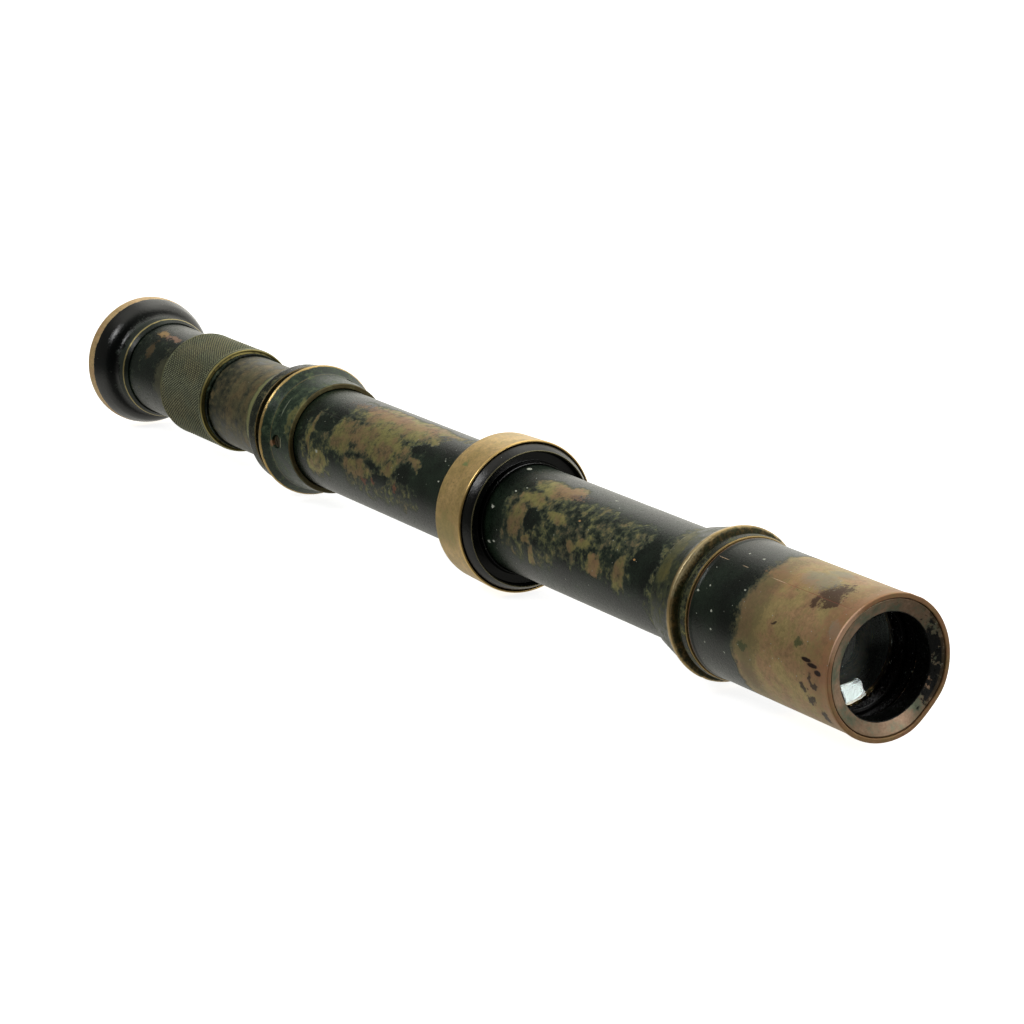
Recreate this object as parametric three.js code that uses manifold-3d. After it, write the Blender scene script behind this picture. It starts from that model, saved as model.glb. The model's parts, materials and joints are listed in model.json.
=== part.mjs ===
// A brass sighting telescope: objective barrel, main tube with two fitting collars, and a focusing
// eyepiece whose knurled ring drives the eye tube in and out through a coarse thread.
//
// Millimetres. The optical axis is X, with the objective towards +X, and +Z is up. Every turned
// piece is given as an outline of [station, radius] points. A station is the distance behind the
// front edge of the objective barrel, and the origin lies on the axis half-way along the telescope.

import * as THREE from 'three';
import { mergeVertices } from 'three/addons/utils/BufferGeometryUtils.js';
import Module from 'manifold-3d';

const wasm = await Module();
wasm.setup();

// ---------------------------------------------------------------- driving dimensions

const LENGTH = 545;              // front edge of the barrel to the back of the eyecup
const GAP = 0.3;                 // clearance between neighbouring pieces

const BARREL_R = 24.6;           // objective barrel
const BARREL_BORE = 23.3;
const BARREL_END = 77;
const BEZEL_BORE = 18.2;         // clear opening at the front
const BEZEL_DISH = 2.1;          // depth of its dished face
const LENS_R = 19.8;             // objective lenses
const CROWN_STATION = 23;        // front edge of the crown lens

const TUBE_R = 20.7;             // main tube
const TUBE_BORE = 19.2;
const TUBE_FRONT = 66;
const TUBE_BACK = 392;
const COLLAR_BORE = TUBE_R + GAP;

const FRONT_RIM_R = 27.5;        // front collar
const FRONT_RIM = 84.8;
const FRONT_COLLAR_BACK = 102.6;

const BAND_FRONT = 218;          // middle collar
const BAND_BACK = 236.2;
const BAND_R = 29.4;
const BAND_BACK_R = 28.8;

const FLANGE_BACK = 381.6;       // mounting flange
const FLANGE_R = 27.4;
const SPACER_R = 22.3;           // floor of the groove behind the flange
const SPACER_RECESS = 0.6;       // depth of the recess that centres the spacer
const BOSS_FRONT = 363;
const BACK_RING_FRONT = 388;     // rounded ring behind the flange
const BACK_RING_R = 25.5;
const SET_SCREW_STATION = 372.3;
const SET_SCREW_COUNT = 3;

const ERECTOR_R = 14;            // erector tube, inside the main tube
const ERECTOR_BORE = 12.7;
const ERECTOR_FRONT = 262;
const ERECTOR_BACK = 352;

const HOUSING_R = 20;            // eyepiece housing
const HOUSING_SHOULDER = 441.2;
const SLEEVE_R = 17.4;           // its inner sleeve, which the eye tube slides on
const SLEEVE_BORE = 15.9;
const SLEEVE_BACK = 498;

const KNURL_R = 22.65;           // focusing ring
const KNURL_FRONT = 443.9;
const KNURL_BACK = 483.3;
const CHAMBER_R = 20.75;         // its inner chamber, round the eye tube

const NECK_R = 20.3;             // eye tube
const NECK_FRONT = 460.5;
const NECK_BACK = 519;
const GUIDE_STATION = 470;       // guide screw in its slot
const GUIDE_HEAD_R = 1.8;
const TRAVEL = 4.82;             // eye tube travel each way

const EYECUP_R = 28.85;

const OUTSIDE = 32;              // facets round a piece that shows
const INSIDE = 16;               // facets round an inner piece
const SMALL = 12;                // facets round a screw

// ---------------------------------------------------------------- materials

const metal = (color, roughness, metalness) =>
  new THREE.MeshStandardMaterial({ color, roughness, metalness });

const enamel = metal(0x232a26, 0.4, 0.3);
const glossBlack = metal(0x101214, 0.2, 0.2);
const bareBrass = metal(0x9a8050, 0.38, 0.9);
const agedBrass = metal(0x756845, 0.45, 0.8);
const knurledBrass = metal(0x585442, 0.55, 0.7);
const mattBlack = metal(0x0b0b0b, 0.85, 0.1);
const screwSteel = metal(0x7d6a58, 0.5, 0.9);
const glass = new THREE.MeshStandardMaterial({
  color: 0xdfe8ea, roughness: 0.03, metalness: 0, transparent: true, opacity: 0.35,
});

// ---------------------------------------------------------------- helpers

// A solid turned about the X axis from a closed outline of [station, radius] points. The facets
// are set so that one lies flat at the bottom, where the telescope rests.
function turnedGeometry(outline, facets) {
  const corners = outline.map(([station, radius]) => new THREE.Vector2(radius, -station));
  if (THREE.ShapeUtils.area(corners) < 0) corners.reverse();
  const onAxis = outline.some(([, radius]) => radius === 0);
  if (!onAxis) corners.push(corners[0].clone());
  const phase = Math.PI / facets;
  const geometry = new THREE.LatheGeometry(corners, facets, phase);
  geometry.rotateZ(-Math.PI / 2);
  return plain(geometry);
}

// Only positions, with shared corners merged, as the boolean library needs it.
function plain(geometry) {
  geometry.deleteAttribute('normal');
  geometry.deleteAttribute('uv');
  return mergeVertices(geometry, 1e-4);
}

function solid(geometry) {
  const mesh = new wasm.Mesh({
    numProp: 3,
    vertProperties: new Float32Array(geometry.attributes.position.array),
    triVerts: new Uint32Array(geometry.index.array),
  });
  return new wasm.Manifold(mesh);
}

function geometryOf(manifold) {
  const { vertProperties, triVerts, numProp } = manifold.getMesh();
  const positions = new Float32Array((vertProperties.length / numProp) * 3);
  for (let i = 0; i < positions.length / 3; i += 1) {
    for (let k = 0; k < 3; k += 1) positions[3 * i + k] = vertProperties[numProp * i + k];
  }
  const geometry = new THREE.BufferGeometry();
  geometry.setAttribute('position', new THREE.BufferAttribute(positions, 3));
  geometry.setIndex(new THREE.BufferAttribute(new Uint32Array(triVerts), 1));
  return geometry;
}

// Cuts each cutter geometry out of the body geometry.
function cut(body, cutters) {
  return geometryOf(cutters.reduce((rest, cutter) => rest.subtract(solid(cutter)), solid(body)));
}

// A plain cylinder standing radially, pointing up at a station and then turned about the axis.
function radialCylinder(station, radius, from, to, angle) {
  const geometry = new THREE.CylinderGeometry(radius, radius, to - from, SMALL);
  geometry.rotateX(Math.PI / 2);
  geometry.translate(-station, 0, (from + to) / 2);
  geometry.rotateX(angle);
  return plain(geometry);
}

function named(name, geometry, material) {
  geometry.computeVertexNormals();
  const mesh = new THREE.Mesh(geometry, material);
  mesh.name = name;
  return mesh;
}

const turned = (name, material, outline, facets = INSIDE) =>
  named(name, turnedGeometry(outline, facets), material);

// A plain ring between two stations.
const ring = (front, back, outer, inner) => [
  [front, inner], [front, outer], [back, outer], [back, inner],
];

// A lens whose rim runs between two stations. Each bulge is how far that face stands out from its
// rim, negative for a hollow face. A face this shallow is taken as a parabola.
function lens(name, front, back, radius, frontBulge, backBulge) {
  const steps = 3;
  const face = (station, bulge, direction) => {
    const points = [];
    for (let i = 0; i <= steps; i += 1) {
      const r = (radius * i) / steps;
      points.push([station + direction * bulge * (1 - (r / radius) ** 2), r]);
    }
    return points;
  };
  const outline = [...face(front, frontBulge, -1), ...face(back, backBulge, 1).reverse()];
  return turned(name, glass, outline);
}

// A screw with a slotted cheese head, set radially into a counterbored hole.
function radialScrew(name, station, angle, { shankR, headR, inner, seat, outer }) {
  const profile = [
    [0, inner], [shankR, inner], [shankR, seat], [headR, seat], [headR, outer], [0, outer],
  ].map(([r, h]) => new THREE.Vector2(r, h));
  const blank = plain(new THREE.LatheGeometry(profile, SMALL));
  const slot = new THREE.BoxGeometry(headR * 3, headR * 0.7, headR * 0.5);
  slot.translate(0, outer, 0);
  const screw = cut(blank, [plain(slot)]);
  screw.rotateX(Math.PI / 2);
  screw.translate(-station, 0, 0);
  screw.rotateX(angle);
  return named(name, screw, screwSteel);
}

// ---------------------------------------------------------------- objective end

function objectiveEnd() {
  const barrel = turned('objective_barrel', bareBrass, [
    [0, BARREL_BORE], [0, BARREL_R + 0.3], [0.8, BARREL_R + 0.45], [4.5, BARREL_R],
    [BARREL_END - 2, BARREL_R], [BARREL_END - 1.2, BARREL_R + 0.3], [BARREL_END, BARREL_R + 0.3],
    [BARREL_END, BARREL_BORE],
  ], OUTSIDE);

  const spigotR = BARREL_BORE - GAP;
  const bezel = turned('objective_bezel', agedBrass, [
    [GAP, spigotR], [BEZEL_DISH, BEZEL_BORE], [9, BEZEL_BORE], [9, 20.5], [12, 20.5], [12, spigotR],
  ], OUTSIDE);

  const cell = turned('objective_cell', mattBlack, [
    [12.3, 20.1], [12.3, spigotR], [38, spigotR], [38, 18], [33.4, 18], [33.4, 20.1],
  ]);

  const notch = (side) => plain(
    new THREE.BoxGeometry(1.6, 3.2, 2.4).translate(-CROWN_STATION + 6.8, side * 19.1, 0),
  );
  const lockRing = named('objective_lock_ring', cut(
    turnedGeometry(ring(CROWN_STATION - 6.8, CROWN_STATION - 3.2, LENS_R, 18.3), INSIDE),
    [notch(1), notch(-1)],
  ), mattBlack);

  return [
    barrel,
    bezel,
    cell,
    lockRing,
    lens('objective_crown_lens', CROWN_STATION, CROWN_STATION + 2.2, LENS_R, 2.4, 2.6),
    turned('objective_spacer', bareBrass, ring(25.5, 26.0, LENS_R, 18.7)),
    lens('objective_flint_lens', CROWN_STATION + 3.3, CROWN_STATION + 10, LENS_R, -2.6, -0.8),
    turned('barrel_baffle', mattBlack, [
      [50, 21.8], [50, spigotR], [58, spigotR], [58, 17], [56.6, 17], [56.6, 21.8],
    ]),
  ];
}

// ---------------------------------------------------------------- front collar

function frontCollar() {
  const spigotR = BARREL_BORE - GAP;
  const groove = FRONT_RIM - 1.4;
  return [
    turned('front_collar', agedBrass, [
      [64, COLLAR_BORE], [64, spigotR], [81.3, spigotR], [81.3, 24.2], [groove, 24.2],
      [groove + 0.2, FRONT_RIM_R - 0.7], [FRONT_RIM - 0.5, FRONT_RIM_R],
      [FRONT_RIM + 0.5, FRONT_RIM_R], [FRONT_RIM + 1.6, FRONT_RIM_R - 0.4],
      [FRONT_RIM + 2.8, FRONT_RIM_R - 1], [FRONT_COLLAR_BACK - 1, 23], [FRONT_COLLAR_BACK, 22.3],
      [FRONT_COLLAR_BACK, COLLAR_BORE],
    ], OUTSIDE),
    turned('front_collar_ring', agedBrass, [
      [BARREL_END + 0.4, BARREL_BORE], [BARREL_END + 0.4, 25.2], [BARREL_END + 1, 25.6],
      [80.5, 25.6], [81, 25.3], [81, BARREL_BORE],
    ], OUTSIDE),
  ];
}

// ---------------------------------------------------------------- main tube and its optics

function mainTube() {
  const supportR = TUBE_BORE - GAP;
  const baffle = (name, station) => turned(name, mattBlack, [
    [station, 17.7], [station, supportR], [station + 8, supportR], [station + 8, 14.5],
    [station + 6.8, 14.5], [station + 6.8, 17.7],
  ]);
  const support = (name, station) =>
    turned(name, mattBlack, ring(station, station + 6, supportR, ERECTOR_R + GAP));
  const retainer = (name, front) =>
    turned(name, mattBlack, ring(front, front + 2, ERECTOR_BORE - GAP, 11));
  return [
    turned('main_tube', enamel, ring(TUBE_FRONT, TUBE_BACK, TUBE_R, TUBE_BORE), OUTSIDE),
    baffle('tube_baffle_front', 150),
    baffle('tube_baffle_rear', 228),
    support('erector_support_front', ERECTOR_FRONT + 8),
    support('erector_support_rear', ERECTOR_BACK - 14),
    turned('erector_tube', mattBlack, ring(ERECTOR_FRONT, ERECTOR_BACK, ERECTOR_R, ERECTOR_BORE)),
    retainer('erector_front_retainer', ERECTOR_FRONT + 0.5),
    lens('erector_front_lens', ERECTOR_FRONT + 4.6, ERECTOR_FRONT + 7, ERECTOR_BORE - GAP, 1.8, 1),
    turned('erector_stop', mattBlack, ring(306, 308, ERECTOR_BORE - GAP, 6)),
    lens('erector_rear_lens', ERECTOR_BACK - 7, ERECTOR_BACK - 4.6, ERECTOR_BORE - GAP, 1, 1.8),
    retainer('erector_rear_retainer', ERECTOR_BACK - 2.5),
  ];
}

// ---------------------------------------------------------------- middle collar

function middleCollar() {
  const seatR = 28.6;
  const lip = 21.5;
  return [
    turned('middle_collar', bareBrass, [
      [BAND_BACK, COLLAR_BORE], [BAND_BACK, BAND_BACK_R - 0.2], [BAND_BACK - 0.3, BAND_BACK_R],
      [BAND_FRONT + 0.5, BAND_R], [BAND_FRONT, BAND_R - 0.3], [BAND_FRONT, seatR],
      [BAND_FRONT + 6.3, seatR], [BAND_FRONT + 6.3, COLLAR_BORE],
    ], OUTSIDE),
    turned('middle_collar_lock_ring', glossBlack, [
      [BAND_FRONT + 6, seatR - GAP], [BAND_FRONT + 0.3, seatR - GAP], [BAND_FRONT - 0.6, 27.9],
      [BAND_FRONT - 2.4, 27], [214.3, 26.1], [214.6, 25.7], [217.2, 25.2], [217.2, lip + 0.4],
      [215, lip], [214.8, COLLAR_BORE], [BAND_FRONT + 6, COLLAR_BORE],
    ], OUTSIDE),
  ];
}

// ---------------------------------------------------------------- mounting flange

function mountingFlange() {
  const step = FLANGE_BACK - 5;
  const recess = FLANGE_BACK - SPACER_RECESS;
  const blank = turnedGeometry([
    [recess, COLLAR_BORE], [recess, SPACER_R + GAP], [FLANGE_BACK, SPACER_R + GAP],
    [FLANGE_BACK, FLANGE_R - 0.1], [FLANGE_BACK - 0.7, FLANGE_R],
    [FLANGE_BACK - 1.6, FLANGE_R - 0.6], [step + 0.5, 24.6], [step, 24.4],
    [BOSS_FRONT + 0.4, 23.1], [BOSS_FRONT, 22.7], [BOSS_FRONT, COLLAR_BORE],
  ], OUTSIDE);

  const holes = [];
  const screws = [];
  for (let i = 0; i < SET_SCREW_COUNT; i += 1) {
    const angle = Math.PI / 2 + (i * 2 * Math.PI) / SET_SCREW_COUNT;
    holes.push(radialCylinder(SET_SCREW_STATION, 2.9, 22.6, 26, angle));
    holes.push(radialCylinder(SET_SCREW_STATION, 1.9, 20.5, 23, angle));
    screws.push(radialScrew(`flange_set_screw_${i + 1}`, SET_SCREW_STATION, angle, {
      shankR: 1.6, headR: 2.4, inner: 21.1, seat: 22.9, outer: 23.5,
    }));
  }

  return [
    named('mounting_flange', cut(blank, holes), enamel),
    ...screws,
    turned('flange_spacer', mattBlack,
      ring(recess + GAP, BACK_RING_FRONT - GAP, SPACER_R, COLLAR_BORE), OUTSIDE),
    turned('flange_back_ring', glossBlack, [
      [BACK_RING_FRONT, COLLAR_BORE], [BACK_RING_FRONT, BACK_RING_R - 0.3],
      [BACK_RING_FRONT + 0.4, BACK_RING_R], [393.4, BACK_RING_R], [394.8, BACK_RING_R - 0.5],
      [395.4, 24], [395.6, 22.9], [395.6, COLLAR_BORE],
    ], OUTSIDE),
  ];
}

// ---------------------------------------------------------------- eyepiece housing

function eyepieceHousing() {
  const spigotR = TUBE_BORE - GAP;
  const guideHole = radialCylinder(GUIDE_STATION, 1.6, SLEEVE_BORE - 1, SLEEVE_R + 1, 0);
  const body = turnedGeometry([
    [374, SLEEVE_BORE], [374, spigotR], [TUBE_BACK + GAP, spigotR], [TUBE_BACK + GAP, TUBE_R],
    [396, TUBE_R], [396, 22.8], [397.4, 21.9], [399.4, 21.1], [401.6, 20.8], [405.8, 20.8],
    [406.8, HOUSING_R], [HOUSING_SHOULDER, HOUSING_R], [HOUSING_SHOULDER, 18.6], [448.6, 18.6],
    [448.6, SLEEVE_R], [SLEEVE_BACK, SLEEVE_R], [SLEEVE_BACK, SLEEVE_BORE],
  ], OUTSIDE);
  const innerR = SLEEVE_BORE - GAP;
  return [
    named('eyepiece_housing', cut(body, [guideHole]), enamel),
    turned('focusing_ring_washer', agedBrass,
      ring(HOUSING_SHOULDER + GAP, 443.3, 20.9, 18.9), OUTSIDE),
    turned('focusing_ring_nut', agedBrass,
      ring(448.9, 451.9, CHAMBER_R - GAP, SLEEVE_R + GAP), OUTSIDE),
    turned('graticule_cell', mattBlack, [
      [462, 11.5], [462, innerR], [469, innerR], [469, 13.2], [463.6, 13.2], [463.6, 11.5],
    ]),
    lens('graticule_glass', 463.9, 466, 12.9, 0, 0),
    turned('graticule_retainer', mattBlack, ring(466.4, 468.4, 12.9, 11.5)),
    radialScrew('focusing_guide_screw', GUIDE_STATION, 0, {
      shankR: 1.3, headR: GUIDE_HEAD_R, inner: SLEEVE_BORE + GAP, seat: SLEEVE_R + GAP,
      outer: NECK_R - 0.1,
    }),
  ];
}

// ---------------------------------------------------------------- focusing ring

function focusingRing() {
  return [
    turned('focusing_ring', knurledBrass, [
      [KNURL_FRONT, 18.9], [KNURL_FRONT + 0.6, 21.4], [KNURL_FRONT, 21.7],
      [KNURL_FRONT, 22.2], [KNURL_FRONT + 1.4, KNURL_R], [KNURL_BACK - 0.6, KNURL_R],
      [KNURL_BACK, KNURL_R - 0.2], [KNURL_BACK, CHAMBER_R], [448.6, CHAMBER_R], [448.6, 18.9],
    ], OUTSIDE),
  ];
}

// ---------------------------------------------------------------- eye tube and eyecup

function eyepiece() {
  const slotHalf = GUIDE_HEAD_R + GAP + TRAVEL;
  const slot = new THREE.BoxGeometry(2 * slotHalf, 2 * (GUIDE_HEAD_R + GAP), 6);
  slot.translate(-GUIDE_STATION, 0, NECK_R - 1.5);
  const seat = SLEEVE_R + GAP + 0.1;
  const spigotR = 18.6;
  const cellBore = 16.2;
  const tube = turnedGeometry([
    [NECK_FRONT, seat], [NECK_FRONT, NECK_R], [NECK_BACK, NECK_R], [NECK_BACK, spigotR],
    [531, spigotR], [531, cellBore], [504, cellBore], [504, seat],
  ], OUTSIDE);

  return [
    named('eye_tube', cut(tube, [plain(slot)]), enamel),
    turned('eyecup_seat_ring', agedBrass, [
      [519.3, spigotR + GAP], [519.3, 20.9], [521, 22], [521.6, 22.3], [522, 22.2],
      [522, spigotR + GAP],
    ], OUTSIDE),
    turned('eyecup', glossBlack, [
      [522.3, spigotR + GAP], [522.3, 22.1], [525.5, 21.6], [528, 21.7], [529.4, 22.8],
      [531, 25], [533, 26.6], [537.5, 28.2], [541.5, EYECUP_R], [543.8, EYECUP_R - 0.1],
      [LENGTH, 28.2], [LENGTH, 27.5], [540, 25.8], [536.5, 22.4], [534.6, 19], [533, 15.5],
      [531.3, 15.5], [531.3, spigotR + GAP],
    ], OUTSIDE),
    turned('eye_lens_cell', mattBlack, [
      [478, 12.6], [478, SLEEVE_BORE - GAP], [519.5, SLEEVE_BORE - GAP],
      [519.5, 14.2], [480.6, 14.2], [480.6, 12.6],
    ]),
    lens('field_lens', 484, 486.5, 13.9, 2.2, 0.4),
    turned('eyepiece_spacer', mattBlack, ring(487.2, 508, 13.9, 12.6)),
    lens('eye_lens', 510, 512.5, 13.9, 1.6, 1.8),
    turned('eye_lens_retainer', mattBlack, ring(515, 518.6, 13.9, 12.2)),
  ];
}

// ---------------------------------------------------------------- assembly

const telescope = new THREE.Group();
telescope.position.x = LENGTH / 2;

const body = new THREE.Group();
body.add(...objectiveEnd(), ...frontCollar(), ...mainTube(), ...middleCollar());
body.add(...mountingFlange(), ...eyepieceHousing());

const focus = new THREE.Group();
focus.add(...focusingRing());

const eye = new THREE.Group();
eye.add(...eyepiece());

telescope.add(body, focus, eye);

const group = new THREE.Group();
group.add(telescope);
export default group;
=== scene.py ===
"""Looks for a brass sighting telescope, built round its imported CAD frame.

Every turned piece is made again from its CAD outline with round walls, broken edges and wear.
Shapes are given in millimetres by station and radius: a station is the distance behind the front
edge of the objective barrel. Places on a surface are given by station and angle, in degrees, with
0 on the side that faces -Y and 90 on top.
"""

import json
import math
import random

import bmesh
import bpy
import numpy as np
from mathutils import Matrix, Vector

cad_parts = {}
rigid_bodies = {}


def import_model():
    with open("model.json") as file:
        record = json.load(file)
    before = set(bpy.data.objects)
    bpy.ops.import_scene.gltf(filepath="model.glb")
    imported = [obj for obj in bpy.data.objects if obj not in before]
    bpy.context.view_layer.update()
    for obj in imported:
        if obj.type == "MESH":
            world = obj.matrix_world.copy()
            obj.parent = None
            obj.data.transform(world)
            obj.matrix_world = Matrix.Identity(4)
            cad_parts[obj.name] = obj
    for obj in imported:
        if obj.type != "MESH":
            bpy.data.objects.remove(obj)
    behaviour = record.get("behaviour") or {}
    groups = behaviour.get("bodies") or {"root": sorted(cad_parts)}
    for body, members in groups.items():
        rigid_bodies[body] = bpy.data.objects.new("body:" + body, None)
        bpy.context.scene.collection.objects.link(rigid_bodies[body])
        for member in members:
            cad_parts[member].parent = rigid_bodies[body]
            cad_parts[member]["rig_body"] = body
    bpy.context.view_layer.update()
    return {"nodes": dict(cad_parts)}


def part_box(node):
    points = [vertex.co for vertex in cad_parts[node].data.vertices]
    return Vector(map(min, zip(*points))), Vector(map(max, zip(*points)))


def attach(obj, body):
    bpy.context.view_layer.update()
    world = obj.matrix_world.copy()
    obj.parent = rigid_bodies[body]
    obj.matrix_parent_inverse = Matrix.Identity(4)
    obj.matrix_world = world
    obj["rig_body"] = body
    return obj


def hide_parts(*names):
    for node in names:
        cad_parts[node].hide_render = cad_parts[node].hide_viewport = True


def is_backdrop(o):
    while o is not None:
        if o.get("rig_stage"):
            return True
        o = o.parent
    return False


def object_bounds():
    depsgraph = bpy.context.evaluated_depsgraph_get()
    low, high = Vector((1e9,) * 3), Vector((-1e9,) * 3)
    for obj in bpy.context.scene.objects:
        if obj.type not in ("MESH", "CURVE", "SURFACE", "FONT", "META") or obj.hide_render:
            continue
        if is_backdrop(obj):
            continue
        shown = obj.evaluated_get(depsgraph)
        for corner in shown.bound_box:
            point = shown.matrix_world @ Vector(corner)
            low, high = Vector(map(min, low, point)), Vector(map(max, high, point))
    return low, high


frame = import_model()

MM = 0.001
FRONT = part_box("objective_barrel")[1].x

OUTER_SEGMENTS = 256     # round a piece that shows
INNER_SEGMENTS = 96      # round a piece inside
ROW_STEP = 2.5           # mm between rows along a straight wall
GENTLE = 36              # degrees: a bend below this is part of a curve
EDGE_LOOP = 0.12         # mm from a broken edge to the row that holds the wall flat
ON_AXIS = 0.05           # mm: a CAD point closer than this to the axis is on it

WELD = 0.00001           # metres: points of a cut closer than this become one
SHARP = math.radians(35)           # an edge of a cut piece that bends more stays sharp

KNURL_COUNT = 114        # diamonds round the focusing ring
KNURL_HELIX = 33         # degrees from the axis
KNURL_DEPTH = 0.42       # mm
KNURL_SAMPLES = 4        # rows and columns for each diamond
KNURL_WALL = 22          # mm: the knurled wall lies outside this radius
CAD_RING_FACETS = 32     # flats round the focusing ring in the frame

FLANGE_SCREWS = (0, -120, 120)     # their angles
FLANGE_SCREW_STATION = 372.3
GUIDE_SCREW_STATION = 470
GUIDE_SLOT = (6.92, 2.12)          # half length and half width, mm
NOTCH = (1.6, 3.2, 2.4)            # spanner notch in the lock ring, mm
NOTCH_STATION = 16.2
NOTCH_RADIUS = 19.1
SAW_CUT = 0.6                      # width of a screw's slot, mm
FRONT_DENT = (0, -135, 0.7, 6, 24)     # in the barrel's front edge: see dings

LOSS_LEVEL = 0.55        # the most that a spot of loss or of net raises the wear
NET_LEVEL = 0.06
SPOT_SLOPE = 1.35        # how fast the wear rises towards the middle of a spot
GRAIN_WEAR = 2.1         # how far coarse and fine noise move the wear
FINE_WEAR = 0.7
SEEN_SIDE = 37           # degrees: the angle that faces the camera


# ---------------------------------------------------------------- outlines read from the frame

def cad_outline(node):
    """The outline of a turned CAD node as (station, radius) points in mm, read off one facet line.
    It is a closed loop, or runs from axis to axis where the node is solid in the middle."""
    mesh = frame["nodes"][node].data
    places = [tuple(round(c / MM, 3) for c in vertex.co) for vertex in mesh.vertices]
    lines = {}
    for x, y, z in set(places):
        radius = math.hypot(y, z)
        if radius > ON_AXIS:
            lines.setdefault(round(math.degrees(math.atan2(z, y)) + 0.2), set()).add((x, y, z))
    widest = max(math.hypot(y, z) for x, y, z in places)
    whole = [lines[a] for a in sorted(lines)
             if max(math.hypot(y, z) for x, y, z in lines[a]) > widest - 0.01]
    sizes = [len(points) for points in whole]
    usual = max(set(sizes), key=sizes.count)
    chosen = next(points for points in whole if len(points) == usual)
    chosen = chosen | {p for p in places if math.hypot(p[1], p[2]) <= ON_AXIS}
    joined = {}
    for edge in mesh.edges:
        a, b = (places[v] for v in edge.vertices)
        if a != b and a in chosen and b in chosen:
            joined.setdefault(a, set()).add(b)
            joined.setdefault(b, set()).add(a)
    poles = sorted(p for p in joined if math.hypot(p[1], p[2]) <= ON_AXIS)
    for pole in poles:
        joined[pole].difference_update(poles)
    walk = [poles[-1] if poles else max(joined)]
    while True:
        ahead = [p for p in sorted(joined[walk[-1]]) if p not in walk]
        if not ahead:
            break
        walk.append(ahead[0])
    return [(FRONT / MM - x, math.hypot(y, z)) for x, y, z in walk]


def shaped(points, edge, row_step=ROW_STEP):
    """A finer outline: broken edges of radius edge, smooth curves through gentle bends, and long
    walls divided into rows."""
    closed = points[0][1] > ON_AXIS
    pts = [Vector(p) for p in points]
    if not closed:
        pts = [Vector((pts[1].x, -pts[1].y))] + pts + [Vector((pts[-2].x, -pts[-2].y))]
    n = len(pts)
    out = []
    for i in range(n) if closed else range(1, n - 1):
        before, here, after = pts[i - 1], pts[i], pts[(i + 1) % n]
        back, ahead = before - here, after - here
        turn = math.pi - back.angle(ahead)
        room = min(back.length, ahead.length)
        if turn < math.radians(1):
            out.append(here)
            continue
        gentle = turn < math.radians(GENTLE)
        reach = 0.5 * room if gentle else min(edge * math.tan(turn / 2), 0.42 * room)
        start, end = here + back.normalized() * reach, here + ahead.normalized() * reach
        steps = max(3, math.ceil(math.degrees(turn) / (4 if gentle else 22)))
        for k in range(steps + 1):
            t = k / steps
            out.append(start * (1 - t) ** 2 + here * 2 * t * (1 - t) + end * t ** 2)
    if not closed:
        out = [p for p in out if p.y > 1e-6]
        out = [Vector((out[0].x, 0))] + out + [Vector((out[-1].x, 0))]
    rows = []
    for i, here in enumerate(out):
        after = out[(i + 1) % len(out)]
        rows.append(here)
        span = (after - here).length
        if i == len(out) - 1 and not closed:
            break
        if span > 4 * EDGE_LOOP:
            inner = np.linspace(EDGE_LOOP, span - EDGE_LOOP, max(2, math.ceil(span / row_step) + 1))
            rows += [here.lerp(after, t / span) for t in inner]
    tidy = [rows[0]]
    for point in rows[1:]:
        if (point - tidy[-1]).length > 1e-4:
            tidy.append(point)
    if closed and (tidy[0] - tidy[-1]).length <= 1e-4:
        tidy.pop()
    return [(p.x, p.y) for p in tidy], closed


# ---------------------------------------------------------------- meshes

def closed_mesh(name, points, faces, weld=0.0):
    """A smooth mesh with its faces pointing out. Points in metres closer than weld become one, and
    points that no face uses are dropped."""
    mesh = bpy.data.meshes.new(name)
    mesh.from_pydata(points, [], faces)
    bm = bmesh.new()
    bm.from_mesh(mesh)
    if weld:
        bmesh.ops.remove_doubles(bm, verts=bm.verts, dist=weld)
    bmesh.ops.delete(bm, geom=[v for v in bm.verts if not v.link_faces], context="VERTS")
    bmesh.ops.recalc_face_normals(bm, faces=bm.faces)
    for face in bm.faces:
        face.smooth = True
    bm.to_mesh(mesh)
    bm.free()
    return mesh


def box_mesh(name, sizes, place):
    """A box with its sizes in mm, put in its place by a matrix."""
    mesh = bpy.data.meshes.new(name)
    bm = bmesh.new()
    bmesh.ops.create_cube(bm, size=1)
    bm.to_mesh(mesh)
    bm.free()
    mesh.transform(Matrix.Diagonal([size * MM for size in sizes] + [1]))
    mesh.transform(place)
    return mesh


def turned_mesh(name, rows, closed, segments, relief=None, split=None):
    """Turns rows of (station, radius) about the axis. relief(stations, angles, radii) gives how far
    each point moves inwards, in mm. split says which diagonal divides a face, for knurling."""
    stations = np.array([s for s, _ in rows])[:, None]
    radii = np.array([r for _, r in rows])[:, None]
    angles = np.linspace(-180, 180, segments, endpoint=False)[None, :]
    shape = (len(rows), segments)
    s, a, r = (np.broadcast_to(v, shape).copy() for v in (stations, angles, radii))
    if relief:
        r -= np.where(r > ON_AXIS, relief(s, a, r), 0)
    t = np.radians(a)
    co = np.stack([FRONT / MM - s, -r * np.cos(t), r * np.sin(t)], -1) * MM
    index = np.arange(shape[0] * segments).reshape(shape)
    faces = []
    last = len(rows) if closed else len(rows) - 1
    for i in range(last):
        here, after = index[i], index[(i + 1) % len(rows)]
        for j in range(segments):
            k = (j + 1) % segments
            if rows[i][1] < 1e-6:
                faces.append((here[0], after[j], after[k]))
            elif rows[(i + 1) % len(rows)][1] < 1e-6:
                faces.append((here[j], after[0], here[k]))
            elif split and split(i, j) is not None:
                a1, b1, c1, d1 = here[j], after[j], after[k], here[k]
                faces += [(a1, b1, c1), (a1, c1, d1)] if split(i, j) else [(a1, b1, d1), (b1, c1, d1)]
            else:
                faces.append((here[j], after[j], after[k], here[k]))
    return closed_mesh(name, co.reshape(-1, 3).tolist(), [tuple(int(v) for v in f) for f in faces])


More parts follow.
